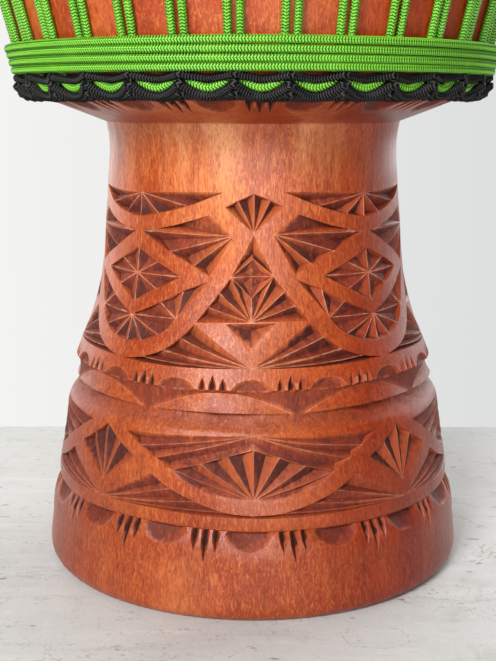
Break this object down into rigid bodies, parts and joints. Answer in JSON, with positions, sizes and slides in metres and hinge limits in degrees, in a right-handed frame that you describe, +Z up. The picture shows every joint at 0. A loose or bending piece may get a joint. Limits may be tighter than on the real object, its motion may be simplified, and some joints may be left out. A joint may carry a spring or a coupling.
{
  "type": "djembe",
  "caption": "Rope-tuned goblet hand drum: turned hardwood shell with a flared foot, goatskin head, steel rings, black cradle ropes and green lacing with a wound tail.",
  "frame": {"origin": "centre of the foot's resting face", "axes": "+Z up along the drum's axis, from the foot to the head"},
  "size_m": [0.375, 0.375, 0.5948],
  "materials": {
    "wood": "hand carved and satin varnished",
    "goatskin": "scraped and dried hide",
    "steel": "bare welded rod",
    "wrap_cloth": "woven cotton strip",
    "black_rope": "braided polyester",
    "green_rope": "braided polyester"
  },
  "bodies": {
    "root": {"shell": "wood", "drum_skin": "goatskin", "flesh_ring": "steel", "crown_ring": "steel", "bottom_ring": "steel", "crown_ring_wrap": "wrap_cloth", "bottom_ring_wrap": "wrap_cloth", "lower_cradle_loops": "black_rope", "lower_cradle_strand": "black_rope", "upper_cradle_loops": "black_rope", "upper_cradle_strand": "black_rope", "lacing_rope": "green_rope"}
  },
  "joints": []
}
